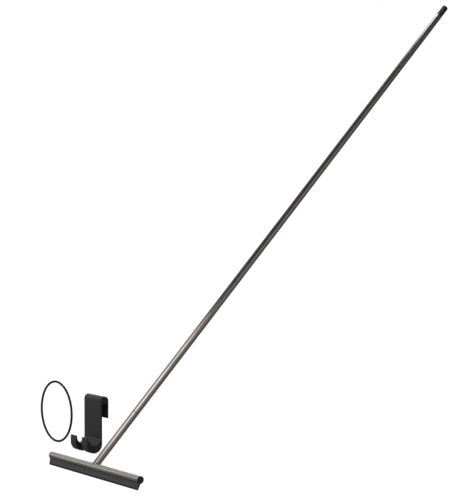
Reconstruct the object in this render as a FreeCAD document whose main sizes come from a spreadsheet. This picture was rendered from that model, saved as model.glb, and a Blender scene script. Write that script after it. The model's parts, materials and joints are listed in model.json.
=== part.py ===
import FreeCAD, Part
import math
import os
import Sketcher
from FreeCAD import Rotation, Vector

# A long-handled window squeegee with its shower-glass hook and its rubber ring.
# Millimetres, +Z up. The origin is the middle of the blade's working edge, which
# lies along X on the ground. The pole leans back towards +Y.

doc = FreeCAD.newDocument("window_squeegee")
sheet = doc.addObject("Spreadsheet::Sheet", "Dims")

DIMENSIONS = [
    # posture
    ("blade_tilt", 17.0),       # degrees, the blade leans forward from straight down
    ("pole_lean", 44.7),        # degrees, the pole leans back from straight up
    ("edge_drop", 21.9),        # head tube axis to the working edge
    ("seam_reach", 150.0),      # head tube axis to the screwed joint, along the pole
    ("pole_reach", 1505.0),     # head tube axis to the far end of the pole cap
    # tubes
    ("tube_radius", 8.0),
    ("tube_wall", 1.0),
    ("head_width", 365.5),      # over both end caps
    ("slot_angle", 52.0),       # degrees each side of the blade's direction
    # rubber blade
    ("bulb_radius", 6.7),
    ("core_radius", 2.6),
    ("blade_neck_drop", 5.2),
    ("blade_root_half", 3.1),
    ("blade_root_drop", 8.6),
    ("blade_foot_half", 2.3),
    ("blade_foot_drop", 18.6),
    ("blade_edge_half", 0.6),
    ("blade_end_gap", 0.3),
    # end caps of the head tube
    ("cap_flange", 2.2),
    ("cap_gap", 0.2),           # between the tube's end and the cap
    ("cap_edge_round", 1.4),
    ("cap_pin_radius", 2.55),
    ("cap_pin_length", 14.0),
    # screwed joint between the neck and the pole
    ("washer_radius", 7.6),
    ("washer_thick", 0.6),
    ("washer_gap", 0.1),        # on each side of the washer
    ("stud_radius", 6.0),
    ("stud_clearance", 0.05),
    ("stud_chamfer", 1.0),
    ("thread_engaged", 16.0),
    ("plug_length", 26.0),
    ("socket_length", 30.0),
    ("socket_bore_depth", 18.0),
    # pole cap
    ("pole_cap_length", 35.0),
    ("pole_cap_radius", 7.6),
    ("pole_cap_round", 2.8),
    ("pole_cap_plug_radius", 6.8),
    ("pole_cap_plug_length", 24.0),
    ("pole_cap_rib_radius", 7.0),
    ("pole_cap_rib_pitch", 6.0),
    # hook for a shower glass
    ("hook_width", 74.0),
    ("hook_height", 132.0),
    ("strip_thick", 4.0),
    ("crown_radius", 10.8),     # outside of the bend over the glass
    ("crown_depth", 15.5),      # top of the hook to the top of the glass slot
    ("cradle_radius", 21.0),    # outside of the bend under the head tube
    ("cradle_depth", 17.5),     # foot of the hook to the floor of the cradle
    ("prong_height", 37.5),
    ("return_length", 51.8),
    ("notch_half", 13.7),
    ("notch_reach", 31.0),      # front of the prongs to the notch's rounded end
    ("hook_side", -277.3),      # middle of the hook, across the squeegee
    ("hook_back", 171.0),       # front face of the hook's plate, behind the edge
    # rubber ring
    ("ring_radius", 73.0),
    ("ring_section", 2.9),
    ("ring_side", -435.0),
    ("ring_back", 164.0),
]

for row, (alias, value) in enumerate(DIMENSIONS, start=1):
    sheet.set(f"A{row}", alias)
    sheet.set(f"B{row}", str(value))
    sheet.setAlias(f"B{row}", alias)
doc.recompute()

VALUES = dict(DIMENSIONS)


class Size:
    """A length with its spreadsheet expression, so outlines can be sums of dimensions."""

    def __init__(self, value, text):
        self.value = value
        self.text = text

    def __add__(self, other):
        return Size(self.value + other.value, f"({self.text} + {other.text})")

    def __sub__(self, other):
        return Size(self.value - other.value, f"({self.text} - {other.text})")

    def __neg__(self):
        return Size(-self.value, f"(-{self.text})")

    def __mul__(self, factor):
        return Size(self.value * factor, f"({self.text} * {factor})")

    def polar(self, angle):
        """The two components of this length at an angle, given as a Size in degrees."""
        across = self.value * math.sin(math.radians(angle.value))
        along = self.value * math.cos(math.radians(angle.value))
        return (Size(across, f"({self.text} * sin({angle.text} * 1 deg))"),
                Size(along, f"({self.text} * cos({angle.text} * 1 deg))"))


def size(alias):
    return Size(VALUES[alias], f"Dims.{alias}")


ZERO = Size(0.0, "0")

# ---------------------------------------------------------------- sketches and bodies


def new_body(name):
    body = doc.addObject("PartDesign::Body", name)
    body.Label = name
    return body


def new_sketch(body, name, plane):
    """A sketch on one of the body's own origin planes, such as YZ_Plane."""
    sketch = body.newObject("Sketcher::SketchObject", name)
    planes = [item for item in body.Origin.OriginFeatures if item.Role == plane]
    sketch.AttachmentSupport = [(planes[0], "")]
    sketch.MapMode = "FlatFace"
    return sketch


def bind(sketch, kind, elements, length, name):
    """Add a dimensional constraint and bind it to its spreadsheet expression."""
    index = sketch.addConstraint(Sketcher.Constraint(kind, *elements, length.value))
    sketch.renameConstraint(index, name)
    sketch.setExpression(f"Constraints.{name}", length.text)


def add_arc(sketch, start, end, radius, turn):
    """An arc from start to end that turns left (+1) or right (-1), of under half a circle."""
    chord = end - start
    height = math.sqrt(radius ** 2 - (chord.Length / 2) ** 2)
    left = Vector(-chord.y, chord.x, 0).normalize()
    centre = (start + end) * 0.5 + left * height * turn
    angles = [math.atan2(point.y - centre.y, point.x - centre.x) for point in (start, end)]
    if turn < 0:
        angles.reverse()
    if angles[1] < angles[0]:
        angles[1] += 2 * math.pi
    circle = Part.Circle(centre, Vector(0, 0, 1), radius)
    return sketch.addGeometry(Part.ArcOfCircle(circle, angles[0], angles[1]), False)


def add_outline(sketch, corners):
    """A closed outline. Each corner is (x, y), or (x, y, radius, turn) where an arc starts.

    Every corner is held by two dimensions and every arc by its radius.
    """
    points = [Vector(corner[0].value, corner[1].value, 0) for corner in corners]
    ends = []
    for number, corner in enumerate(corners):
        start = points[number]
        end = points[(number + 1) % len(points)]
        if len(corner) == 2:
            index = sketch.addGeometry(Part.LineSegment(start, end), False)
            ends.append((index, 1, 2))
        else:
            index = add_arc(sketch, start, end, corner[2].value, corner[3])
            ends.append((index, 1, 2) if corner[3] > 0 else (index, 2, 1))
    for number, corner in enumerate(corners):
        index, first, last = ends[number]
        following, following_first, _ = ends[(number + 1) % len(ends)]
        sketch.addConstraint(
            Sketcher.Constraint("Coincident", index, last, following, following_first))
        bind(sketch, "DistanceX", (-1, 1, index, first), corner[0], f"corner{number}_x")
        bind(sketch, "DistanceY", (-1, 1, index, first), corner[1], f"corner{number}_y")
        if len(corner) == 4:
            bind(sketch, "Radius", (index,), corner[2], f"arc{number}")


def add_circle(sketch, radius, name):
    """A circle about the sketch's origin."""
    circle = Part.Circle(Vector(0, 0, 0), Vector(0, 0, 1), radius.value)
    index = sketch.addGeometry(circle, False)
    sketch.addConstraint(Sketcher.Constraint("Coincident", index, 3, -1, 1))
    bind(sketch, "Radius", (index,), radius, name)


def add_pad(body, sketch, length, symmetric=False):
    pad = body.newObject("PartDesign::Pad", f"{sketch.Name}_pad")
    pad.Profile = sketch
    pad.SideType = "Symmetric" if symmetric else "One side"
    pad.setExpression("Length", length.text)
    sketch.Visibility = False
    doc.recompute()
    return pad


def add_revolution(body, sketch):
    """The sketch turned fully about its own vertical axis."""
    revolution = body.newObject("PartDesign::Revolution", f"{sketch.Name}_turned")
    revolution.Profile = sketch
    revolution.ReferenceAxis = (sketch, ["V_Axis"])
    revolution.Angle = 360.0
    doc.recompute()
    return revolution


def add_fillet(body, base, radius, wanted):
    """Round the edges of base that the function wanted picks."""
    names = []
    for number, edge in enumerate(base.Shape.Edges, start=1):
        if wanted(edge):
            names.append(f"Edge{number}")
    fillet = body.newObject("PartDesign::Fillet", f"{base.Name}_round")
    fillet.Base = (base, names)
    fillet.setExpression("Radius", radius.text)
    doc.recompute()
    return fillet


def new_cylinder(name, radius, length, offset=None):
    cylinder = doc.addObject("Part::Cylinder", name)
    cylinder.setExpression("Radius", radius.text)
    cylinder.setExpression("Height", length.text)
    if offset is not None:
        cylinder.setExpression("Placement.Base.z", offset.text)
    return cylinder


def cut(name, base, tool):
    result = doc.addObject("Part::Cut", name)
    result.Base = base
    result.Tool = tool
    result.Label = name
    doc.recompute()
    return result


# ---------------------------------------------------------------- places in the whole object

tilt = VALUES["blade_tilt"]
lean = VALUES["pole_lean"]
# The rear corner of the blade's flat edge is the lowest line, so it lies on the origin.
blade_turn = Rotation(Vector(1, 0, 0), -tilt)
edge_corner = Vector(0, VALUES["blade_edge_half"], -VALUES["edge_drop"])
head_place = FreeCAD.Placement(-blade_turn.multVec(edge_corner), blade_turn)
# Local +Z of the pole pieces runs up the pole from the head tube's axis.
pole_turn = Rotation(Vector(1, 0, 0), -lean)
seam_thick = size("washer_thick") + size("washer_gap") * 2
pole_foot = size("seam_reach") + seam_thick


def along_pole(distance):
    """The placement of a piece whose foot is this far up the pole."""
    direction = pole_turn.multVec(Vector(0, 0, 1))
    return FreeCAD.Placement(head_place.Base + direction * distance, pole_turn)


# ---------------------------------------------------------------- head


def make_head_tube():
    """A tube along X with a slot along its underside that the rubber slides into."""
    body = new_body("head_tube")
    sketch = new_sketch(body, "head_section", "YZ_Plane")
    outer = size("tube_radius")
    inner = outer - size("tube_wall")
    outer_lip = outer.polar(size("slot_angle"))
    inner_lip = inner.polar(size("slot_angle"))
    add_outline(sketch, [
        (outer_lip[0], -outer_lip[1], outer, 1),
        (ZERO, outer, outer, 1),
        (-outer_lip[0], -outer_lip[1]),
        (-inner_lip[0], -inner_lip[1], inner, -1),
        (ZERO, inner, inner, -1),
        (inner_lip[0], -inner_lip[1]),
    ])
    length = size("head_width") - (size("cap_flange") + size("cap_gap")) * 2
    add_pad(body, sketch, length, symmetric=True)
    body.Placement = head_place
    return body


def make_rubber_blade():
    """One rubber extrusion: a hollow bulb that the tube holds, and a wiping wedge."""
    body = new_body("rubber_blade")
    sketch = new_sketch(body, "blade_section", "YZ_Plane")
    bulb = size("bulb_radius")
    root = (size("blade_root_half"), size("blade_root_drop"))
    foot = (size("blade_foot_half"), size("blade_foot_drop"))
    edge = (size("blade_edge_half"), size("edge_drop"))
    drop = size("blade_neck_drop")
    # The bulb's round ends where its circle comes down to the neck.
    half = Size(math.sqrt(bulb.value ** 2 - drop.value ** 2),
                f"sqrt({bulb.text} ^ 2 - {drop.text} ^ 2)")
    add_outline(sketch, [
        (half, -drop, bulb, 1),
        (ZERO, bulb, bulb, 1),
        (-half, -drop),
        (-root[0], -root[1]),
        (-foot[0], -foot[1]),
        (-edge[0], -edge[1]),
        (edge[0], -edge[1]),
        (root[0], -root[1]),
    ])
    add_circle(sketch, size("core_radius"), "core")
    length = size("head_width") - (size("cap_flange") + size("blade_end_gap")) * 2
    add_pad(body, sketch, length, symmetric=True)
    body.Placement = head_place
    return body


def make_end_cap(name, side):
    """A disc over the tube's end, with a pin that plugs into the rubber's hollow core."""
    body = new_body(name)
    flange = size("cap_flange")
    disc_sketch = new_sketch(body, f"{name}_disc", "YZ_Plane")
    add_circle(disc_sketch, size("tube_radius"), "rim")
    disc = add_pad(body, disc_sketch, flange)
    outer_face = VALUES["cap_flange"]
    radius = VALUES["tube_radius"]

    def on_outer_rim(edge):
        middle = edge.BoundBox
        flat = middle.XLength < 0.01 and abs(middle.XMax - outer_face) < 0.01
        return flat and middle.YLength > radius
    add_fillet(body, disc, size("cap_edge_round"), on_outer_rim)
    pin_sketch = new_sketch(body, f"{name}_pin", "YZ_Plane")
    add_circle(pin_sketch, size("cap_pin_radius"), "pin")
    pin = add_pad(body, pin_sketch, size("cap_pin_length"))
    pin.Reversed = True
    body.Tip = pin
    doc.recompute()
    turn = blade_turn
    if side < 0:
        turn = turn.multiply(Rotation(Vector(0, 0, 1), 180))
    offset = side * (VALUES["head_width"] / 2 - VALUES["cap_flange"])
    body.Placement = FreeCAD.Placement(head_place.Base + Vector(offset, 0, 0), turn)
    return body


# ---------------------------------------------------------------- neck and screwed joint


def make_neck_tube():
    """A short tube, its lower end cut to sit on the round of the head tube."""
    reach = size("seam_reach")
    outer = new_cylinder("neck_outside", size("tube_radius"), reach)
    inner = new_cylinder("neck_bore", size("tube_radius") - size("tube_wall"), reach)
    pipe = cut("neck_pipe", outer, inner)
    saddle = doc.addObject("Part::Cylinder", "neck_saddle")
    saddle.setExpression("Radius", size("tube_radius").text)
    saddle.setExpression("Height", (size("tube_radius") * 4).text)
    saddle.Placement = FreeCAD.Placement(
        Vector(-2 * VALUES["tube_radius"], 0, 0), Rotation(Vector(0, 1, 0), 90))
    neck = cut("neck_tube", pipe, saddle)
    neck.Placement = along_pole(0)
    return neck


def make_neck_plug():
    """The insert in the neck's mouth that holds the threaded stud."""
    body = new_cylinder("plug_outside", size("tube_radius") - size("tube_wall"),
                        size("plug_length"))
    hole = new_cylinder("plug_hole", size("stud_radius"), size("plug_length"))
    plug = cut("neck_plug", body, hole)
    plug.Placement = along_pole(VALUES["seam_reach"] - VALUES["plug_length"])
    return plug


def make_thread_stud():
    """The stud at its thread's outside diameter, with a chamfered nose."""
    body = new_body("thread_stud")
    sketch = new_sketch(body, "stud_section", "XZ_Plane")
    radius = size("stud_radius")
    nose = size("stud_chamfer")
    length = size("plug_length") + seam_thick + size("thread_engaged")
    add_outline(sketch, [
        (ZERO, ZERO),
        (radius - nose, ZERO),
        (radius, nose),
        (radius, length - nose),
        (radius - nose, length),
        (ZERO, length),
    ])
    add_revolution(body, sketch)
    body.Placement = along_pole(VALUES["seam_reach"] - VALUES["plug_length"])
    return body


def make_joint_washer():
    """The thin black ring that shows as the seam between neck and pole."""
    disc = new_cylinder("washer_outside", size("washer_radius"), size("washer_thick"))
    hole = new_cylinder("washer_hole", size("stud_radius") + size("stud_clearance"),
                        size("washer_thick"))
    washer = cut("joint_washer", disc, hole)
    washer.Placement = along_pole(VALUES["seam_reach"] + VALUES["washer_gap"])
    return washer


def make_pole_socket():
    """The insert in the pole's lower end, bored for the stud."""
    body = new_cylinder("socket_outside", size("tube_radius") - size("tube_wall"),
                        size("socket_length"))
    bore = new_cylinder("socket_bore", size("stud_radius") + size("stud_clearance"),
                        size("socket_bore_depth"))
    socket = cut("pole_socket", body, bore)
    socket.Placement = along_pole(pole_foot.value)
    return socket


# ---------------------------------------------------------------- pole


def make_pole_tube():
    length = size("pole_reach") - size("pole_cap_length") - pole_foot
    outer = new_cylinder("pole_outside", size("tube_radius"), length)
    inner = new_cylinder("pole_bore", size("tube_radius") - size("tube_wall"), length)
    pole = cut("pole_tube", outer, inner)
    pole.Placement = along_pole(pole_foot.value)
    return pole


def make_pole_cap():
    """A turned plastic cap whose ribbed plug is pushed into the pole."""
    body = new_body("pole_cap")
    sketch = new_sketch(body, "pole_cap_section", "XZ_Plane")
    outside = size("pole_cap_radius")
    round_over = size("pole_cap_round")
    plug = size("pole_cap_plug_radius")
    rib = size("pole_cap_rib_radius")
    depth = size("pole_cap_plug_length")
    pitch = size("pole_cap_rib_pitch")
    length = size("pole_cap_length")
    corners = [
        (ZERO, -depth),
        (plug, -depth),
    ]
    for number in range(3):
        foot = pitch * (number + 1) - depth
        corners += [
            (plug, foot - pitch * 0.25),
            (rib, foot),
            (plug, foot),
        ]
    corners += [
        (plug, ZERO),
        (outside, ZERO),
        (outside, length - round_over, round_over, 1),
        (outside - round_over, length),
        (ZERO, length),
    ]
    add_outline(sketch, corners)
    add_revolution(body, sketch)
    body.Placement = along_pole(VALUES["pole_reach"] - VALUES["pole_cap_length"])
    return body


# ---------------------------------------------------------------- hook and ring

hook_place = FreeCAD.Placement(
    Vector(VALUES["hook_side"], VALUES["hook_back"], 0), Rotation())


def make_hook_body():
    """A moulding bent over at the top for the glass and forward at the foot as a cradle.

    It is a thin plate whose two bends are thick. Local Y is 0 on the plate's front face. A
    notch splits the cradle into two prongs, so the head tube can lie in it while the pole
    hangs down between the prongs.
    """
    body = new_body("hook_body")
    sketch = new_sketch(body, "hook_profile", "YZ_Plane")
    thick = size("strip_thick")
    height = size("hook_height")
    crown = size("crown_radius")
    cradle = size("cradle_radius")
    prong = size("prong_height")
    shoulder = height - crown
    slot_half = crown - thick
    slot_top = height - size("crown_depth")
    slot_shoulder = slot_top - slot_half
    return_foot = height - size("return_length")
    floor = size("cradle_depth")
    cradle_middle = thick - cradle
    cradle_inner = cradle - thick
    cradle_shoulder = floor + cradle_inner
    front = thick - cradle * 2
    add_outline(sketch, [
        (front, prong),
        (front, cradle, cradle, 1),
        (cradle_middle, ZERO, cradle, 1),
        (thick, cradle),
        (thick, slot_shoulder, slot_half, -1),
        (crown, slot_top, slot_half, -1),
        (crown * 2 - thick, slot_shoulder),
        (crown * 2 - thick, return_foot),
        (crown * 2, return_foot),
        (crown * 2, shoulder, crown, 1),
        (crown, height, crown, 1),
        (ZERO, shoulder),
        (ZERO, cradle_shoulder, cradle_inner, -1),
        (cradle_middle, floor, cradle_inner, -1),
        (front + thick, cradle_shoulder),
        (front + thick, prong),
    ])
    plate = add_pad(body, sketch, size("hook_width"), symmetric=True)
    whole_volume = plate.Shape.Volume
    notch_sketch = new_sketch(body, "hook_notch", "XY_Plane")
    half = size("notch_half")
    end = front + size("notch_reach")
    add_outline(notch_sketch, [
        (-half, front - thick),
        (half, front - thick),
        (half, end - half, half, 1),
        (ZERO, end, half, 1),
        (-half, end - half),
    ])
    notch = body.newObject("PartDesign::Pocket", "hook_notch_cut")
    notch.Profile = notch_sketch
    notch.Reversed = True
    notch.setExpression("Length", (prong + thick).text)
    body.Tip = notch
    doc.recompute()
    if notch.Shape.Volume > 0.9 * whole_volume:
        raise RuntimeError("the hook's notch removed too little")
    body.Placement = hook_place
    return body


def make_rubber_ring():
    """A plain round-section ring that stands upright, parallel to the head."""
    ring = doc.addObject("Part::Torus", "rubber_ring")
    ring.setExpression("Radius1", size("ring_radius").text)
    ring.setExpression("Radius2", size("ring_section").text)
    ring.Label = "rubber_ring"
    height = VALUES["ring_radius"] + VALUES["ring_section"]
    ring.Placement = FreeCAD.Placement(
        Vector(VALUES["ring_side"], VALUES["ring_back"], height),
        Rotation(Vector(1, 0, 0), 90))
    return ring


parts = [
    make_head_tube(),
    make_rubber_blade(),
    make_end_cap("end_cap_left", -1),
    make_end_cap("end_cap_right", 1),
    make_neck_tube(),
    make_neck_plug(),
    make_thread_stud(),
    make_joint_washer(),
    make_pole_socket(),
    make_pole_tube(),
    make_pole_cap(),
    make_hook_body(),
    make_rubber_ring(),
]

# ---------------------------------------------------------------- checks and files

doc.recompute()
for item in doc.Objects:
    if "Invalid" in item.State or "Error" in item.State:
        raise RuntimeError(f"{item.Label} did not compute: {item.State}")

os.makedirs("parts", exist_ok=True)
for part in parts:
    shape = part.Shape
    if shape.isNull() or not shape.isValid():
        raise RuntimeError(f"{part.Label} has no valid shape")
    shape.exportStep(os.path.join("parts", f"{part.Label}.step"))
    box = shape.BoundBox
    print(f"{part.Label}: {shape.Volume:.0f} mm3, {len(shape.Solids)} solid, "
          f"x {box.XMin:.1f} {box.XMax:.1f}, y {box.YMin:.1f} {box.YMax:.1f}, "
          f"z {box.ZMin:.1f} {box.ZMax:.1f}")
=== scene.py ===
import json
import math
import bmesh
import bpy
from mathutils import Matrix, Vector


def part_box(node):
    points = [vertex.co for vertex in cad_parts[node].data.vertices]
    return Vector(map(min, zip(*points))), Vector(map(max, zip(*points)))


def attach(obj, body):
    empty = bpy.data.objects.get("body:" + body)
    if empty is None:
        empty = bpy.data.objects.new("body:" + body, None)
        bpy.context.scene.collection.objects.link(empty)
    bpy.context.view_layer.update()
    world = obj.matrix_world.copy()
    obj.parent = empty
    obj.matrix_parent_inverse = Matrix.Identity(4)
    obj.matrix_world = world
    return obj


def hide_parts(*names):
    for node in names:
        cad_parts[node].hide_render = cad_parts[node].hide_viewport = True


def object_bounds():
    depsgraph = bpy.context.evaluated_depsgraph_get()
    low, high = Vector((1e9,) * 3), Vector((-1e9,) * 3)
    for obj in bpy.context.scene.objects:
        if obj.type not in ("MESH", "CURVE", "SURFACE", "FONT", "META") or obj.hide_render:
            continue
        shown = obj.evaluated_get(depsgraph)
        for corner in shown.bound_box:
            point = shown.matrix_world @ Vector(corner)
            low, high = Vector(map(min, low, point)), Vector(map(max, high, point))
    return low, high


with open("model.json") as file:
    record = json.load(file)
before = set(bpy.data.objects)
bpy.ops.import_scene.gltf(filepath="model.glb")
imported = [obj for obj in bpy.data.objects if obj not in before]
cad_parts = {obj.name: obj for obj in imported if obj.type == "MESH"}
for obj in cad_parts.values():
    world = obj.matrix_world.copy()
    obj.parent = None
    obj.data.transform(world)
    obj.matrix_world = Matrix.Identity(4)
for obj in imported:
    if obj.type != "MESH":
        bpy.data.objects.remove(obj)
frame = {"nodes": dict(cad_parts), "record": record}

# A long-handled window squeegee, its shower-glass hook and its rubber ring. Metres.

cad_low, cad_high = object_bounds()
record = frame["record"]
mounts = {mount["name"]: mount for mount in record["mounts"]}
joints = {joint["name"]: joint for joint in record["behaviour"]["joints"]}
scene = bpy.context.scene

# ---------------------------------------------------------------- sizes and places

MM = 0.001
TUBE_RADIUS = mounts["pole_grip"]["dims"]["r_mm"] * MM
TUBE_WALL = 1.0 * MM
BLADE_TILT = math.radians(17.0)
EDGE_DROP = 21.9 * MM
SLOT_ANGLE = math.radians(52.0)
POLE_DIRECTION = Vector(mounts["pole_grip"]["axis"]).normalized()


def middle(node):
    low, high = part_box(node)
    return (low + high) / 2


def highest(node):
    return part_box(node)[1]


# The end caps are round, so their middle is on the head tube's axis.
head_axis = middle("end_cap_right")
head_axis.x = 0.0
# Local Y and Z of the head: Z points away from the blade, Y to its back.
head_turn = Matrix.Rotation(-BLADE_TILT, 3, "X")
head_back = head_turn @ Vector((0, 1, 0))
head_up = head_turn @ Vector((0, 0, 1))
seam_point = Vector(joints["pole_unscrew"]["pos_m"])
seam_reach = (seam_point - head_axis).dot(POLE_DIRECTION)


def on_head(x, y, z):
    """A point given in the head's own directions, in the row frame."""
    return head_axis + Vector((x, 0, 0)) + head_back * y + head_up * z


def on_pole(distance):
    """A point of the pole's centre line, that far from the head tube's axis."""
    return head_axis + POLE_DIRECTION * distance


# ---------------------------------------------------------------- outlines


def arc(centre, radius, start, end, steps):
    """Points of an arc in a plane, from the start angle to the end angle, in degrees."""
    points = []
    for number in range(steps + 1):
        angle = math.radians(start + (end - start) * number / steps)
        points.append((centre[0] + radius * math.cos(angle),
                       centre[1] + radius * math.sin(angle)))
    return points


def rounded(corners, steps, closed=True):
    """The outline with its corners rounded. A corner is (x, y, radius)."""
    count = len(corners)
    points = []
    for number, (x, y, radius) in enumerate(corners):
        corner = Vector((x, y))
        if radius <= 0 or (not closed and number in (0, count - 1)):
            points.append((x, y))
            continue
        before = (Vector(corners[number - 1][:2]) - corner).normalized()
        after = (Vector(corners[(number + 1) % count][:2]) - corner).normalized()
        half = before.angle(after) / 2
        reach = radius / math.tan(half)
        centre = corner + (before + after).normalized() * (radius / math.sin(half))
        first = corner + before * reach - centre
        last = corner + after * reach - centre
        turn = first.angle_signed(last)
        for step in range(steps + 1):
            spot = first.copy()
            spot.rotate(Matrix.Rotation(-turn * step / steps, 2))
            points.append(tuple(centre + spot))
    return points


# ---------------------------------------------------------------- meshes


SHARP_ANGLE = 38.0
BEVEL_ANGLE = 50.0


def finish_mesh(bm, name, sharp=SHARP_ANGLE):
    """The bmesh as a smooth-shaded mesh whose edges over the angle stay sharp."""
    bmesh.ops.remove_doubles(bm, verts=bm.verts, dist=1e-7)
    bmesh.ops.recalc_face_normals(bm, faces=bm.faces)
    mesh = bpy.data.meshes.new(name)
    bm.to_mesh(mesh)
    bm.free()
    mesh.shade_smooth()
    mesh.set_sharp_from_angle(angle=math.radians(sharp))
    return mesh


def lathe(name, foot, direction, profile, segments, closed=False):
    """Turns (radius, distance) points about a line. A closed profile makes a tube."""
    turn = direction.to_track_quat("Z", "Y")
    bm = bmesh.new()
    rings = []
    for radius, distance in profile:
        ring = []
        spokes = segments if radius > 1e-7 else 1
        for number in range(spokes):
            angle = 2 * math.pi * number / segments
            spot = Vector((radius * math.cos(angle), radius * math.sin(angle), distance))
            ring.append(bm.verts.new(foot + turn @ spot))
        rings.append(ring)
    pairs = list(zip(rings, rings[1:]))
    if closed:
        pairs.append((rings[-1], rings[0]))
    for low, high in pairs:
        for number in range(segments):
            after = (number + 1) % segments
            if len(low) == 1:
                bm.faces.new((low[0], high[after], high[number]))
            elif len(high) == 1:
                bm.faces.new((low[number], low[after], high[0]))
            else:
                bm.faces.new((low[number], low[after], high[after], high[number]))
    return finish_mesh(bm, name)


def extrude(name, place, stations, outlines):
    """Sweeps closed outlines along a straight line and fills its two ends.

    place(x, u, v) gives a point, stations are the places along the line, and every outline
    after the first is a hole.
    """
    bm = bmesh.new()
    end_edges = ([], [])
    for outline in outlines:
        rings = []
        for x in stations:
            rings.append([bm.verts.new(place(x, u, v)) for u, v in outline])
        count = len(rings[0])
        for low, high in zip(rings, rings[1:]):
            for number in range(count):
                after = (number + 1) % count
                bm.faces.new((low[number], low[after], high[after], high[number]))
        for edges, ring in zip(end_edges, (rings[0], rings[-1])):
            for number in range(count):
                edges.append(bm.edges.get((ring[number], ring[(number + 1) % count])))
    for edges in end_edges:
        bmesh.ops.triangle_fill(bm, edges=edges, use_beauty=True)
    return finish_mesh(bm, name)


def round_edges(piece, width, segments):
    """Rounds the edges that turn by more than the bevel's angle."""
    bevel = piece.modifiers.new("edge", "BEVEL")
    bevel.width = width
    bevel.segments = segments
    bevel.limit_method = "ANGLE"
    bevel.angle_limit = math.radians(BEVEL_ANGLE)


def add_piece(name, mesh, material, body, replaced=(), edge=0.0):
    """Puts a mesh in the scene, riding on its body. edge rounds its sharp edges.

    The normals are weighted by area, so that long walls stay straight up to their rounds.
    """
    piece = bpy.data.objects.new(name, mesh)
    scene.collection.objects.link(piece)
    mesh.materials.append(material)
    if edge > 0:
        round_edges(piece, edge, 3)
    normals = piece.modifiers.new("normals", "WEIGHTED_NORMAL")
    normals.keep_sharp = True
    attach(piece, body)
    if replaced:
        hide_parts(*replaced)
    return piece


# ---------------------------------------------------------------- materials


class Nodes:
    """A material's node tree, with short calls for the nodes that the materials share."""

    def __init__(self, name):
        self.material = bpy.data.materials.new(name)
        self.material.use_nodes = True
        self.tree = self.material.node_tree
        self.shader = self.tree.nodes["Principled BSDF"]
        self.shader.inputs["Roughness"].default_value = 0.5
        coordinates = self.tree.nodes.new("ShaderNodeTexCoord")
        self.place = coordinates.outputs["Object"]

    def link(self, source, target):
        self.tree.links.new(source, target)

    def mapped(self, scale, turn=(0.0, 0.0, 0.0)):
        """The object's coordinates, turned first and then scaled, so noise can stretch."""
        rotate = self.tree.nodes.new("ShaderNodeVectorRotate")
        rotate.rotation_type = "EULER_XYZ"
        rotate.inputs["Rotation"].default_value = turn
        self.link(self.place, rotate.inputs["Vector"])
        stretch = self.tree.nodes.new("ShaderNodeVectorMath")
        stretch.operation = "MULTIPLY"
        stretch.inputs[1].default_value = scale
        self.link(rotate.outputs["Vector"], stretch.inputs[0])
        return stretch.outputs["Vector"]

    def noise(self, vector, scale, detail=3.0, roughness=0.5, distortion=0.0):
        node = self.tree.nodes.new("ShaderNodeTexNoise")
        node.inputs["Scale"].default_value = scale
        node.inputs["Detail"].default_value = detail
        node.inputs["Roughness"].default_value = roughness
        node.inputs["Distortion"].default_value = distortion
        self.link(vector, node.inputs["Vector"])
        return node.outputs["Fac"]

    def ramp(self, source, low, high, start, end):
        """Remaps a value from low..high to start..end, clamped."""
        node = self.tree.nodes.new("ShaderNodeMapRange")
        node.inputs["From Min"].default_value = low
        node.inputs["From Max"].default_value = high
        node.inputs["To Min"].default_value = start
        node.inputs["To Max"].default_value = end
        self.link(source, node.inputs["Value"])
        return node.outputs["Result"]

    def mix(self, factor, first, second):
        """A colour between two; each is a colour or a socket."""
        node = self.tree.nodes.new("ShaderNodeMix")
        node.data_type = "RGBA"
        self.link(factor, node.inputs["Factor"])
        for value, socket in ((first, node.inputs["A"]), (second, node.inputs["B"])):
            if isinstance(value, tuple):
                socket.default_value = (*value, 1.0)
            else:
                self.link(value, socket)
        return node.outputs["Result"]

    def maths(self, operation, first, second):
        node = self.tree.nodes.new("ShaderNodeMath")
        node.operation = operation
        for value, socket in ((first, node.inputs[0]), (second, node.inputs[1])):
            if isinstance(value, (int, float)):
                socket.default_value = value
            else:
                self.link(value, socket)
        return node.outputs["Value"]

    def bump(self, height, distance, under=None):
        node = self.tree.nodes.new("ShaderNodeBump")
        node.inputs["Distance"].default_value = distance
        self.link(height, node.inputs["Height"])
        if under is not None:
            self.link(under, node.inputs["Normal"])
        return node.outputs["Normal"]

    def height(self):
        """The object's own Z coordinate."""
        node = self.tree.nodes.new("ShaderNodeSeparateXYZ")
        self.link(self.place, node.inputs["Vector"])
        return node.outputs["Z"]

    def worn_edges(self):
        """1 on convex edges and 0 on flats, from the surface's own pointiness."""
        geometry = self.tree.nodes.new("ShaderNodeNewGeometry")
        return self.ramp(geometry.outputs["Pointiness"], 0.505, 0.56, 0.0, 1.0)

    def set(self, **values):
        for name, value in values.items():
            socket = self.shader.inputs[name.replace("_", " ")]
            if isinstance(value, (int, float)):
                socket.default_value = value
            elif isinstance(value, tuple):
                socket.default_value = (*value, 1.0)
            else:
                self.link(value, socket)
        return self.material


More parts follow.
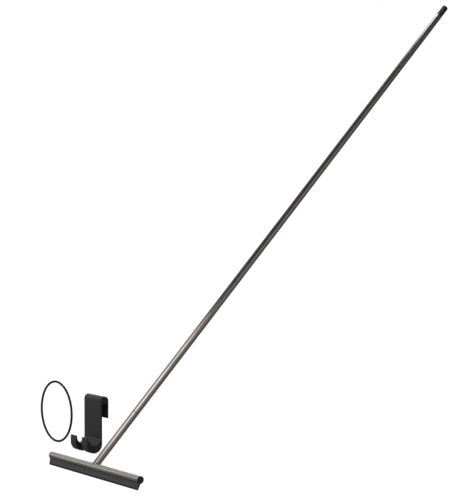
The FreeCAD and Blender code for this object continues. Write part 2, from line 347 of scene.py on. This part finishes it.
def steel(name, turn, roughness):
    """Stainless tube: fine drawing lines along it, faint smears and finger marks."""
    nodes = Nodes(name)
    lines = nodes.noise(nodes.mapped((1.0, 1.0, 0.012), turn), 5200.0, 2.0, 0.6)
    streaks = nodes.noise(nodes.mapped((1.0, 1.0, 0.03), turn), 900.0, 3.0, 0.55)
    smears = nodes.noise(nodes.mapped((1.0, 1.0, 0.4), turn), 38.0, 4.0, 0.6, 0.6)
    colour = nodes.mix(nodes.ramp(streaks, 0.3, 0.7, 0.0, 1.0),
                       (0.385, 0.36, 0.34), (0.47, 0.445, 0.42))
    colour = nodes.mix(nodes.ramp(smears, 0.52, 0.72, 0.0, 0.35), colour,
                       (0.34, 0.32, 0.30))
    rough = nodes.ramp(smears, 0.35, 0.7, roughness - 0.02, roughness + 0.05)
    rough = nodes.maths("ADD", rough, nodes.ramp(lines, 0.3, 0.7, -0.02, 0.02))
    normal = nodes.bump(lines, 0.004 * MM)
    normal = nodes.bump(streaks, 0.006 * MM, under=normal)
    return nodes.set(Base_Color=colour, Metallic=1.0, Roughness=rough, Normal=normal)


def moulded(name, dark, light, roughness, grain=2600.0):
    """Moulded plastic: a fine sparked texture, softly mottled, a little worn at its edges."""
    nodes = Nodes(name)
    place = nodes.mapped((1.0, 1.0, 1.0))
    fine = nodes.noise(place, grain, 3.0, 0.6)
    broad = nodes.noise(place, 60.0, 4.0, 0.6)
    colour = nodes.mix(nodes.ramp(broad, 0.3, 0.7, 0.0, 1.0), dark, light)
    colour = nodes.mix(nodes.maths("MULTIPLY", nodes.worn_edges(), 0.35), colour,
                       tuple(min(1.0, 2.2 * part) for part in light))
    rough = nodes.ramp(broad, 0.3, 0.7, roughness - 0.05, roughness + 0.06)
    normal = nodes.bump(fine, 0.012 * MM)
    nodes.shader.inputs["IOR"].default_value = 1.5
    return nodes.set(Base_Color=colour, Roughness=rough, Normal=normal)


def rubber(name, dark, light, roughness, along=(0.02, 1.0, 1.0), ground=0.0):
    """Extruded or moulded rubber: faint flow lines, a grey bloom in patches.

    Up to the height ground above the floor it is painted darker and without bloom: painted
    shade along the wiping edge, where it faces down to the floor.
    """
    nodes = Nodes(name)
    flow = nodes.noise(nodes.mapped(along), 1400.0, 2.0, 0.5)
    bloom = nodes.noise(nodes.mapped((1.0, 1.0, 1.0)), 45.0, 5.0, 0.65, 0.4)
    speck = nodes.noise(nodes.mapped((1.0, 1.0, 1.0)), 4200.0, 2.0, 0.5)
    colour = nodes.mix(nodes.ramp(bloom, 0.35, 0.7, 0.0, 1.0), dark, light)
    # painted shade: up to the height ground the colour is darkened, as shade along the edge by
    # the floor
    if ground > 0:
        floor_shade = nodes.ramp(nodes.height(), ground - 0.2 * MM, ground, 1.0, 0.0)
        colour = nodes.mix(floor_shade, colour, tuple(0.2 * part for part in dark))
    rough = nodes.ramp(bloom, 0.3, 0.7, roughness - 0.04, roughness + 0.08)
    normal = nodes.bump(flow, 0.01 * MM)
    normal = nodes.bump(speck, 0.008 * MM, under=normal)
    nodes.shader.inputs["IOR"].default_value = 1.52
    return nodes.set(Base_Color=colour, Roughness=rough, Normal=normal)


def turned_metal(name, colour, roughness):
    """A machined insert: rings left by the tool."""
    nodes = Nodes(name)
    rings = nodes.noise(nodes.mapped((0.05, 0.05, 1.0), POLE_EULER), 3000.0, 2.0, 0.5)
    tint = nodes.mix(nodes.ramp(rings, 0.3, 0.7, 0.0, 1.0), colour,
                     tuple(0.82 * part for part in colour))
    rough = nodes.ramp(rings, 0.3, 0.7, roughness, roughness + 0.1)
    normal = nodes.bump(rings, 0.01 * MM)
    return nodes.set(Base_Color=tint, Metallic=1.0, Roughness=rough, Normal=normal)


# Turns that lay a material's Z along the pole or along the head.
POLE_LEAN = math.atan2(POLE_DIRECTION.y, POLE_DIRECTION.z)
POLE_EULER = (POLE_LEAN, 0.0, 0.0)
HEAD_EULER = (0.0, math.pi / 2, 0.0)

pole_steel = steel("pole_steel", POLE_EULER, 0.1)
head_steel = steel("head_steel", HEAD_EULER, 0.14)
cap_plastic = moulded("cap_plastic", (0.026, 0.026, 0.0265), (0.038, 0.038, 0.0385), 0.42)
hook_plastic = moulded("hook_plastic", (0.021, 0.023, 0.0255), (0.028, 0.030, 0.033), 0.4,
                       grain=1900.0)
# the blade's wiping edge gets painted shade up to 4.2 mm above the floor
blade_rubber = rubber("blade_rubber", (0.058, 0.058, 0.059), (0.076, 0.075, 0.076), 0.55,
                      ground=4.2 * MM)
ring_rubber = rubber("ring_rubber", (0.011, 0.011, 0.011), (0.018, 0.018, 0.018), 0.45,
                     (1.0, 1.0, 1.0))
stud_steel = turned_metal("stud_steel", (0.55, 0.54, 0.52), 0.28)
plug_metal = turned_metal("plug_metal", (0.72, 0.72, 0.73), 0.32)

# ---------------------------------------------------------------- head

CAP_FLANGE = 2.2 * MM


def make_head_tube():
    """The slotted tube: a C section with rounded lips, swept along X."""
    lip = math.degrees(SLOT_ANGLE)
    start, end = -90 + lip, 270 - lip
    outer = arc((0, 0), TUBE_RADIUS, start, end, 96)
    inner = arc((0, 0), TUBE_RADIUS - TUBE_WALL, end, start, 96)
    half = highest("head_tube").x
    stations = [half * (2 * number / 24 - 1) for number in range(25)]
    mesh = extrude("head_tube_drawn", on_head, stations, [outer + inner])
    add_piece("head_tube_drawn", mesh, head_steel, "head", ["head_tube"],
              edge=0.22 * MM)


BULB_RADIUS = 6.7 * MM
CORE_RADIUS = 2.6 * MM


def make_rubber_blade():
    """The rubber: hollow bulb, neck, flared wedge and a bevelled wiping edge."""
    drop = 5.2 * MM
    half = math.sqrt(BULB_RADIUS ** 2 - drop ** 2)
    start = math.degrees(math.atan2(-drop, half))
    bulb = arc((0, 0), BULB_RADIUS, start, 180 - start, 64)
    wedge = rounded([
        (-half, -drop, 0),
        (-3.1 * MM, -8.6 * MM, 1.2 * MM),
        (-2.3 * MM, -18.6 * MM, 0.5 * MM),
        (-0.6 * MM, -EDGE_DROP, 0.12 * MM),
        (0.6 * MM, -EDGE_DROP, 0.12 * MM),
        (3.1 * MM, -8.6 * MM, 1.2 * MM),
        (half, -drop, 0),
    ], steps=5, closed=False)
    core = arc((0, 0), CORE_RADIUS, 360, 0, 40)[:-1]
    end = highest("rubber_blade").x
    stations = [end * (2 * number / 40 - 1) for number in range(41)]
    mesh = extrude("wiping_rubber", on_head, stations, [bulb[:-1] + wedge[:-1], core])
    add_piece("wiping_rubber", mesh, blade_rubber, "blade",
              ["rubber_blade"], edge=0.15 * MM)


def make_end_cap(name, node, side, body):
    """A cap: a domed disc with a fine step at its rim, and the pin behind it."""
    pin = 2.55 * MM
    pin_length = 14 * MM
    inside = side * (highest("end_cap_right").x - CAP_FLANGE)
    foot = Vector((inside, head_axis.y, head_axis.z))
    profile = rounded([
        (0, -pin_length, 0),
        (pin, -pin_length, 0.5 * MM),
        (pin, 0, 0.2 * MM),
        (TUBE_RADIUS, 0, 0.25 * MM),
        (TUBE_RADIUS, CAP_FLANGE - 0.1 * MM, 1.4 * MM),
        (4.2 * MM, CAP_FLANGE, 0.6 * MM),
        (0, CAP_FLANGE, 0),
    ], steps=6, closed=False)
    mesh = lathe(name, foot, Vector((side, 0, 0)), profile, 80)
    add_piece(name, mesh, cap_plastic, body, [node])


def make_neck_tube():
    """The neck: its foot follows the round of the head tube, its mouth is rounded."""
    foot_overlap = 0.3 * MM
    segments = 96
    turn = POLE_DIRECTION.to_track_quat("Z", "Y")
    across = turn.inverted() @ Vector((1, 0, 0))
    bm = bmesh.new()
    inner = TUBE_RADIUS - TUBE_WALL
    edge = 0.25 * MM
    rings = [(TUBE_RADIUS, None)]
    rings += [(TUBE_RADIUS, seam_reach * part) for part in (0.2, 0.5, 0.8)]
    rings += [(TUBE_RADIUS - edge + edge * math.cos(angle),
               seam_reach - edge + edge * math.sin(angle))
              for angle in (0, math.pi / 6, math.pi / 3, math.pi / 2)]
    rings += [(inner, seam_reach), (inner, seam_reach - 2 * MM)]
    columns = []
    for number in range(segments):
        angle = 2 * math.pi * number / segments
        ray = Vector((math.cos(angle), math.sin(angle), 0))
        side = ray.cross(across).z
        saddle = TUBE_RADIUS * math.sqrt(max(0.0, 1 - side ** 2)) - foot_overlap
        column = []
        for radius, distance in rings:
            height = saddle if distance is None else distance
            spot = head_axis + turn @ (ray * radius + Vector((0, 0, height)))
            column.append(bm.verts.new(spot))
        columns.append(column)
    for number in range(segments):
        here, there = columns[number], columns[(number + 1) % segments]
        for low in range(len(rings) - 1):
            bm.faces.new((here[low], there[low], there[low + 1], here[low + 1]))
    mesh = finish_mesh(bm, "neck_pipe")
    add_piece("neck_pipe", mesh, pole_steel, "head", ["neck_tube"])


def make_weld():
    """The ground weld bead round the neck's foot, with faint ripples."""
    bead = 0.75 * MM
    count = 220
    ripples = 58
    turn = POLE_DIRECTION.to_track_quat("Z", "Y")
    across = turn.inverted() @ Vector((1, 0, 0))
    bm = bmesh.new()
    rings = []
    for number in range(count):
        angle = 2 * math.pi * number / count
        ray = Vector((math.cos(angle), math.sin(angle), 0))
        side = ray.cross(across).z
        height = TUBE_RADIUS * math.sqrt(max(0.0, 1 - side ** 2))
        spot = turn @ (ray * TUBE_RADIUS + Vector((0, 0, height)))
        neck_normal = turn @ ray
        head_normal = Vector((0, spot.y, spot.z)).normalized()
        out = (neck_normal + head_normal).normalized()
        along = neck_normal.cross(head_normal)
        opening = along.length
        along = along.normalized() if opening > 1e-4 else Vector((1, 0, 0))
        width = bead * (0.45 + 0.55 * opening) * (1 + 0.05 * math.sin(ripples * angle))
        sideways = out.cross(along).normalized()
        centre = head_axis + spot - out * bead * 0.3 * (1 - 0.4 * opening)
        ring = []
        for step in range(12):
            turned = 2 * math.pi * step / 12
            ring.append(bm.verts.new(
                centre + (out * math.cos(turned) + sideways * math.sin(turned)) * width))
        rings.append(ring)
    for number in range(count):
        here, there = rings[number], rings[(number + 1) % count]
        for step in range(12):
            after = (step + 1) % 12
            bm.faces.new((here[step], here[after], there[after], there[step]))
    mesh = finish_mesh(bm, "weld_bead", 80)
    add_piece("weld_bead", mesh, head_steel, "head")


# ---------------------------------------------------------------- screwed joint and pole

WASHER_RADIUS = 7.6 * MM
WASHER_THICK = 0.6 * MM
WASHER_GAP = 0.1 * MM
THREAD_PITCH = 2.0 * MM
STUD_RADIUS = 6.0 * MM
THREAD_ENGAGED = 16.0 * MM
pole_foot = seam_reach + WASHER_THICK + 2 * WASHER_GAP


def make_washer():
    low = WASHER_GAP
    high = WASHER_GAP + WASHER_THICK
    edge = 0.2 * MM
    profile = rounded([
        (STUD_RADIUS + 0.05 * MM, low, edge / 2),
        (WASHER_RADIUS, low, edge),
        (WASHER_RADIUS, high, edge),
        (STUD_RADIUS + 0.05 * MM, high, edge / 2),
    ], steps=4)
    mesh = lathe("seam_washer", seam_point, POLE_DIRECTION, profile, 96, closed=True)
    add_piece("seam_washer", mesh, cap_plastic, "washer", ["joint_washer"])


def make_stud():
    """The stud with a real rounded 2 mm thread, blended out at its nose."""
    engaged = THREAD_ENGAGED + pole_foot - seam_reach
    rows_per_turn = 12
    segments = 48
    depth = 0.85 * MM
    rows = int(engaged / THREAD_PITCH * rows_per_turn) + 1
    turn = POLE_DIRECTION.to_track_quat("Z", "Y")
    bm = bmesh.new()
    rings = []
    for row in range(rows):
        distance = engaged * row / (rows - 1)
        nose = min(1.0, (engaged - distance) / (1.5 * MM))
        ring = []
        for number in range(segments):
            share = number / segments
            phase = (distance / THREAD_PITCH - share) % 1.0
            crest = 0.5 - 0.5 * math.cos(2 * math.pi * phase)
            radius = STUD_RADIUS - depth * (1 - crest ** 0.8)
            radius = min(radius, STUD_RADIUS - depth * (1.1 - nose))
            angle = 2 * math.pi * share
            spot = Vector((radius * math.cos(angle), radius * math.sin(angle), distance))
            ring.append(bm.verts.new(seam_point + turn @ spot))
        rings.append(ring)
    for low, high in zip(rings, rings[1:]):
        for number in range(segments):
            after = (number + 1) % segments
            bm.faces.new((low[number], low[after], high[after], high[number]))
    bm.faces.new(rings[-1])
    bm.faces.new(list(reversed(rings[0])))
    mesh = finish_mesh(bm, "threaded_stud", 60)
    add_piece("threaded_stud", mesh, stud_steel, "head", ["thread_stud"])


def make_pole():
    """The long tube, its two mouths rounded."""
    inner = TUBE_RADIUS - TUBE_WALL
    cap_foot = (Vector(middle("pole_tube")) - head_axis).dot(POLE_DIRECTION) * 2 - pole_foot
    edge = 0.25 * MM
    profile = rounded([
        (inner, pole_foot, edge),
        (TUBE_RADIUS, pole_foot, edge),
        (TUBE_RADIUS, cap_foot, edge),
        (inner, cap_foot, edge),
    ], steps=3)
    mesh = lathe("long_pole", head_axis, POLE_DIRECTION, profile, 96, closed=True)
    add_piece("long_pole", mesh, pole_steel, "pole", ["pole_tube"])
    return cap_foot


def make_pole_cap(cap_foot):
    """The cap: a fine shadow groove at the tube's mouth, a long barrel, a domed end."""
    barrel = 7.6 * MM
    length = 35 * MM
    plug = 6.8 * MM
    plug_length = 24 * MM
    groove = 0.3 * MM
    profile = rounded([
        (0, -plug_length, 0),
        (plug, -plug_length, 0.8 * MM),
        (plug, groove, 0.1 * MM),
        (barrel, groove, 0.3 * MM),
        (barrel, length - 0.5 * MM, 2.6 * MM),
        (4.6 * MM, length - 0.05 * MM, 2.0 * MM),
        (0, length, 0),
    ], steps=7, closed=False)
    mesh = lathe("pole_end_cap", on_pole(cap_foot), POLE_DIRECTION, profile, 96)
    add_piece("pole_end_cap", mesh, cap_plastic, "pole", ["pole_cap"])


# ---------------------------------------------------------------- hook and ring

hook_low, hook_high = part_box("hook_body")
HOOK_MIDDLE = (hook_low.x + hook_high.x) / 2
HOOK_HALF = (hook_high.x - hook_low.x) / 2
HOOK_HEIGHT = hook_high.z - hook_low.z
STRIP = 4.0 * MM
CROWN = 10.8 * MM
CROWN_DEPTH = 15.5 * MM
CRADLE = 21.0 * MM
CRADLE_DEPTH = 17.5 * MM
PRONG = 37.5 * MM
RETURN = 51.8 * MM
NOTCH_HALF = 13.7 * MM
NOTCH_REACH = 31.0 * MM
plate_front = hook_high.y - 2 * CROWN


def on_hook(x, y, z):
    """A point measured from the hook's middle, its plate's front face and its foot."""
    return Vector((HOOK_MIDDLE + x, plate_front + y, hook_low.z + z))


def make_hook():
    """The plate with its thick over-glass crown and its thick forked cradle."""
    front = STRIP - 2 * CRADLE
    middle_y = STRIP - CRADLE
    slot_half = CROWN - STRIP
    inside = CRADLE - STRIP
    outline = [(front, PRONG)]
    outline += arc((middle_y, CRADLE), CRADLE, 180, 360, 40)
    outline += arc((CROWN, HOOK_HEIGHT - CROWN_DEPTH - slot_half), slot_half, 180, 0, 28)
    outline += [(2 * CROWN - STRIP, HOOK_HEIGHT - RETURN),
                (2 * CROWN, HOOK_HEIGHT - RETURN)]
    outline += arc((CROWN, HOOK_HEIGHT - CROWN), CROWN, 0, 180, 28)
    outline += arc((middle_y, CRADLE_DEPTH + inside), inside, 360, 180, 40)
    outline += [(front + STRIP, PRONG)]
    mesh = extrude("glass_hook", on_hook, [-HOOK_HALF, HOOK_HALF], [outline])
    hook = add_piece("glass_hook", mesh, hook_plastic, "hook",
                     ["hook_body"])
    end = front + NOTCH_REACH
    plan = [(-NOTCH_HALF, front - STRIP), (NOTCH_HALF, front - STRIP)]
    plan += arc((0, end - NOTCH_HALF), NOTCH_HALF, 0, 180, 24)
    cutter_mesh = extrude("notch_cutter", lambda z, x, y: on_hook(x, y, z),
                          [-STRIP, PRONG + STRIP], [plan])
    cutter = bpy.data.objects.new("notch_cutter", cutter_mesh)
    scene.collection.objects.link(cutter)
    carve = hook.modifiers.new("notch", "BOOLEAN")
    carve.operation = "DIFFERENCE"
    carve.solver = "EXACT"
    carve.object = cutter
    shape = bpy.data.meshes.new_from_object(
        hook.evaluated_get(bpy.context.evaluated_depsgraph_get()))
    hook.modifiers.remove(carve)
    bpy.data.objects.remove(cutter)
    hook.data = shape
    shape.shade_smooth()
    shape.set_sharp_from_angle(angle=math.radians(SHARP_ANGLE))
    round_edges(hook, 0.7 * MM, 4)
    # the normals are weighted last, over the rounded edges
    hook.modifiers.move(0, 1)


def make_ring():
    """The moulded ring: a round section with the fine flash line of its two-part mould."""
    low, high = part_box("rubber_ring")
    centre = (low + high) / 2
    section = (high.y - low.y) / 2
    radius = (high.x - low.x) / 2 - section
    segments = 192
    spokes = 28
    bm = bmesh.new()
    rings = []
    for number in range(segments):
        angle = 2 * math.pi * number / segments
        ray = Vector((math.cos(angle), 0, math.sin(angle)))
        ring = []
        for step in range(spokes):
            turned = 2 * math.pi * step / spokes
            # a sharp low ridge where the mould halves met, inside and outside
            reach = section - 0.07 * MM
            if step % (spokes // 2) == 0:
                reach = section
            spot = centre + ray * (radius + reach * math.cos(turned))
            spot.y += reach * math.sin(turned)
            ring.append(bm.verts.new(spot))
        rings.append(ring)
    for number in range(segments):
        here, there = rings[number], rings[(number + 1) % segments]
        for step in range(spokes):
            after = (step + 1) % spokes
            bm.faces.new((here[step], here[after], there[after], there[step]))
    mesh = finish_mesh(bm, "moulded_ring", 80)
    add_piece("moulded_ring", mesh, ring_rubber, "ring", ["rubber_ring"])


make_head_tube()
make_rubber_blade()
make_end_cap("left_end_cap", "end_cap_left", -1, "left_cap")
make_end_cap("right_end_cap", "end_cap_right", 1, "right_cap")
make_neck_tube()
make_weld()
make_washer()
make_stud()
make_pole_cap(make_pole())
make_hook()
make_ring()
for node in ("neck_plug", "pole_socket"):
    insert = frame["nodes"][node]
    insert.data.materials.clear()
    insert.data.materials.append(plug_metal)

# ---------------------------------------------------------------- floor, light and camera

FLOOR_RADIUS = 30.0
FLOOR_GAP = 0.2 * MM
FLOOR_GLOW = 0.89
KEY_PLACE = (-0.6, -2.4, 3.2)
KEY_TARGET = (0, 0.3, 0.3)
KEY_SIZE = 1.4
KEY_POWER = 65
SHELL_COLOUR = (1.0, 0.88, 0.84, 1.0)
SHELL_LOW = 0.065
SHELL_HIGH = 0.09
STRIP_COLOUR = (1.0, 0.985, 0.965, 1.0)
STRIP_EDGE = 0.02
HORIZON_FADE = 0.1
X = (1, 0, 0)
Y = (0, 1, 0)
UP = (0, 0, 1)
# Each: the tube it follows, low and high, across, start and end, soft ends, strength.
# They stand still in the studio. Their places and strengths were set for this scene's
# camera, and from there each gives the highlight that its comment names.
STRIP_LIGHTS = [
    # on the head tube: a broad band on its top, a thin bright line, a dim front
    (X, -0.90, -0.77, Y, -0.30, 1.00, 0.06, 0.50),
    (X, -0.90, -0.77, Y, 0.35, 1.00, 0.25, 0.35),
    (X, -0.90, -0.77, Y, -0.47, -0.39, 0.04, 1.10),
    (X, -0.90, -0.77, Y, -0.60, -0.49, 0.04, 0.15),
    # the long highlight on the neck and the lower pole
    (POLE_DIRECTION, 0.245, 0.335, X, -0.50, 0.50, 0.45, 0.55),
    (POLE_DIRECTION, 0.245, 0.335, X, 0.10, 0.45, 0.40, 1.45),
    # the highlight on the last stretch of the pole
    (POLE_DIRECTION, 0.583, 0.80, X, -0.60, -0.05, 0.20, 2.6),
    # the faint second line down the pole's right side
    (POLE_DIRECTION, 0.10, 0.80, X, 0.84, 1.00, 0.05, 0.28),
    # low in front and at the front right: these light the blade and the hook, and show
    # in the steel from behind
    (POLE_DIRECTION, -0.85, -0.28, X, -0.90, 0.90, 0.10, 0.70),
    (X, 0.70, 0.95, Y, -0.75, -0.35, 0.10, 0.60),
]
# The view: a long lens, a little above the ground and looking slightly down.
CAMERA_LENS = 102.7
CAMERA_PLACE = (2.617, -1.592, 0.593)
CAMERA_DOWN = 1.97
CAMERA_TURN = 52.9


def make_floor():
    """A wide pale floor. Only the camera sees its glow, so that it can't flood the steel."""
    bm = bmesh.new()
    bmesh.ops.create_circle(bm, cap_ends=True, radius=FLOOR_RADIUS, segments=64)
    mesh = bpy.data.meshes.new("floor")
    bm.to_mesh(mesh)
    bm.free()
    floor = bpy.data.objects.new("floor", mesh)
    floor.location.z = cad_low.z - FLOOR_GAP
    scene.collection.objects.link(floor)
    nodes = Nodes("pale_floor")
    path = nodes.tree.nodes.new("ShaderNodeLightPath")
    seen = path.outputs["Is Camera Ray"]
    grain = nodes.noise(nodes.mapped((1.0, 1.0, 1.0)), 3.0, 2.0)
    pale = nodes.mix(grain, (0.25, 0.25, 0.25), (0.27, 0.27, 0.27))
    mesh.materials.append(nodes.set(
        Base_Color=pale,
        Roughness=0.9, Specular_IOR_Level=0.0,
        Emission_Color=(1.0, 1.0, 1.0),
        Emission_Strength=nodes.ramp(seen, 0.0, 1.0, 0.0, FLOOR_GLOW)))


def make_key_light():
    """A square soft light from above the front, which reflections leave out."""
    data = bpy.data.lights.new("key", "AREA")
    data.shape = "SQUARE"
    data.size = KEY_SIZE
    data.energy = KEY_POWER
    light = bpy.data.objects.new("key", data)
    light.location = KEY_PLACE
    aim = Vector(KEY_TARGET) - Vector(KEY_PLACE)
    light.rotation_euler = aim.to_track_quat("-Z", "Y").to_euler()
    light.visible_glossy = False
    scene.collection.objects.link(light)


class Dome:
    """The strip lights of the studio, painted on the sky as seen from the object."""

    def __init__(self, tree):
        self.tree = tree
        self.direction = tree.nodes.new("ShaderNodeTexCoord").outputs["Generated"]
        self.total = None

    def add(self, value):
        first = self.total is None
        self.total = value if first else self.joined("ADD", self.total, value)

    def along(self, axis):
        node = self.tree.nodes.new("ShaderNodeVectorMath")
        node.operation = "DOT_PRODUCT"
        node.inputs[1].default_value = axis
        self.tree.links.new(self.direction, node.inputs[0])
        return node.outputs["Value"]

    def fade(self, value, near, far, start, end):
        """start up to near, end from far on, smooth between."""
        node = self.tree.nodes.new("ShaderNodeMapRange")
        node.interpolation_type = "SMOOTHSTEP"
        node.inputs["From Min"].default_value = near
        node.inputs["From Max"].default_value = far
        node.inputs["To Min"].default_value = start
        node.inputs["To Max"].default_value = end
        self.tree.links.new(value, node.inputs["Value"])
        return node.outputs["Result"]

    def joined(self, operation, first, second):
        node = self.tree.nodes.new("ShaderNodeMath")
        node.operation = operation
        self.tree.links.new(first, node.inputs[0])
        self.tree.links.new(second, node.inputs[1])
        return node.outputs["Value"]

    def strip(self, tube, low, high, across, start, end, soft, strength):
        """A curved strip light: the directions whose cosine to a tube's axis is between low
        and high, and whose cosine to the axis across it is between start and end."""
        along = self.along(tube)
        mask = self.joined("MULTIPLY", self.fade(along, low - STRIP_EDGE, low, 0.0, strength),
                           self.fade(along, high, high + STRIP_EDGE, 1.0, 0.0))
        sideways = self.along(across)
        mask = self.joined("MULTIPLY", mask, self.fade(sideways, start - soft, start, 0.0, 1.0))
        mask = self.joined("MULTIPLY", mask, self.fade(sideways, end, end + soft, 1.0, 0.0))
        above = self.fade(self.along(UP), 0.0, HORIZON_FADE, 0.0, 1.0)
        self.add(self.joined("MULTIPLY", mask, above))


def make_world():
    """Plain white to the camera; to the surfaces, a dim warm studio with strip lights."""
    world = bpy.data.worlds.new("studio")
    scene.world = world
    world.use_nodes = True
    tree = world.node_tree
    seen = tree.nodes["Background"]
    seen.inputs["Color"].default_value = (1.0, 1.0, 1.0, 1.0)
    seen.inputs["Strength"].default_value = 1.0
    dome = Dome(tree)
    shell = tree.nodes.new("ShaderNodeBackground")
    shell.inputs["Color"].default_value = SHELL_COLOUR
    tree.links.new(dome.fade(dome.along(UP), -0.2, 0.4, SHELL_LOW, SHELL_HIGH),
                   shell.inputs["Strength"])
    for light in STRIP_LIGHTS:
        dome.strip(*light)
    studio = tree.nodes.new("ShaderNodeBackground")
    studio.inputs["Color"].default_value = STRIP_COLOUR
    tree.links.new(dome.total, studio.inputs["Strength"])
    room = tree.nodes.new("ShaderNodeAddShader")
    tree.links.new(shell.outputs[0], room.inputs[0])
    tree.links.new(studio.outputs[0], room.inputs[1])
    path = tree.nodes.new("ShaderNodeLightPath")
    both = tree.nodes.new("ShaderNodeMixShader")
    tree.links.new(path.outputs["Is Camera Ray"], both.inputs[0])
    tree.links.new(room.outputs[0], both.inputs[1])
    tree.links.new(seen.outputs[0], both.inputs[2])
    tree.links.new(both.outputs[0], tree.nodes["World Output"].inputs["Surface"])


def make_camera():
    data = bpy.data.cameras.new("camera")
    data.lens = CAMERA_LENS
    data.clip_start = 0.05
    data.clip_end = 100.0
    camera = bpy.data.objects.new("camera", data)
    camera.location = CAMERA_PLACE
    camera.rotation_euler = (math.radians(90 - CAMERA_DOWN), 0, math.radians(CAMERA_TURN))
    scene.collection.objects.link(camera)
    scene.camera = camera


make_floor()
make_world()
make_key_light()
make_camera()
scene.view_settings.view_transform = "Standard"
